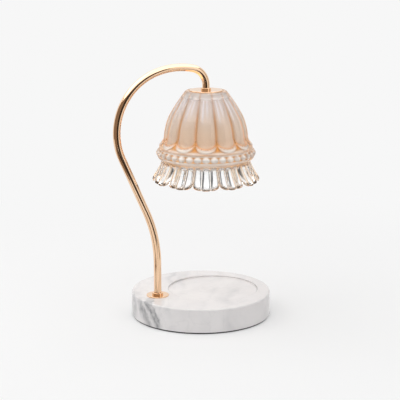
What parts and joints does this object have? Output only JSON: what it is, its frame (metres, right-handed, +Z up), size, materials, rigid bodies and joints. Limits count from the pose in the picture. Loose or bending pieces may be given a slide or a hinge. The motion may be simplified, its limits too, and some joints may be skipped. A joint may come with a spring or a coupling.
{
  "type": "candle warmer lamp",
  "caption": "Table lamp that warms a candle: round stone base with a shallow recess, bent rose-gold tube arm, and a beaded, fluted glass shade hanging over a twist-lock bulb.",
  "frame": {"origin": "centre of the base pad's underside, on the table", "axes": "+Z up; the arm stands in the XZ plane with its foot towards -X and its tip towards +X; +Y is the back, where the cord inlet is"},
  "size_m": [0.1756, 0.15, 0.2749],
  "materials": {
    "marble": "polished",
    "foam": "matt closed-cell foam",
    "grommet_rubber": "matt moulded",
    "rose_gold": "polished rose-gold plate",
    "zinc_steel": "zinc plated",
    "nylon": "natural nylon",
    "silicone": "translucent silicone",
    "ring_metal": "satin rose-gold plate",
    "holder_plastic": "moulded",
    "holder_ceramic": "unglazed",
    "bronze": "rolled strip",
    "brass_sleeve": "turned",
    "lead_brown": "extruded insulation",
    "lead_blue": "extruded insulation",
    "shade_glass": "pressed glass, frosted and pearly inside the dome, clear skirt",
    "bulb_ceramic": "glazed",
    "pin_metal": "nickel plated",
    "bulb_mirror": "facetted aluminised glass",
    "bulb_glass": "clear"
  },
  "bodies": {
    "stand": {"marble_base": "marble", "base_pad": "foam", "cord_grommet": "grommet_rubber", "foot_flange": "rose_gold", "foot_ferrule": "rose_gold", "foot_washer": "zinc_steel", "foot_lock_washer": "zinc_steel", "foot_nut": "zinc_steel", "foot_bush": "nylon", "tip_bush": "nylon", "arm_tube": "rose_gold", "tip_ferrule": "rose_gold", "shade_cap": "rose_gold", "upper_gasket": "silicone", "holder_cap": "holder_plastic", "holder_barrel": "holder_plastic", "holder_insert": "holder_ceramic", "holder_screws": "zinc_steel", "contact_live": "bronze", "contact_neutral": "bronze", "terminal_block": "nylon", "terminal_sleeve_live": "brass_sleeve", "terminal_sleeve_neutral": "brass_sleeve", "terminal_screws": "zinc_steel", "lead_live": "lead_brown", "lead_neutral": "lead_blue"},
    "shade": {"glass_shade": "shade_glass"},
    "ring": {"shade_ring": "ring_metal", "lower_gasket": "silicone"},
    "bulb": {"bulb_base": "bulb_ceramic", "bulb_pins": "pin_metal", "bulb_reflector": "bulb_mirror", "bulb_lens": "bulb_glass", "bulb_capsule": "bulb_glass"}
  },
  "joints": [
    {"name": "shade_turn", "type": "hinge", "parent": "stand", "child": "shade", "pos_m": [0.0059, 0, 0.24], "axis": [0, 0, 1], "continuous": true},
    {"name": "ring_unscrew", "type": "hinge", "parent": "stand", "child": "ring", "pos_m": [0.0059, 0, 0.235], "axis": [0, 0, -1], "range_deg": [0, 1080]},
    {"name": "bulb_twist", "type": "hinge", "parent": "stand", "child": "bulb", "pos_m": [0.0059, 0, 0.212], "axis": [0, 0, -1], "range_deg": [0, 25]}
  ]
}
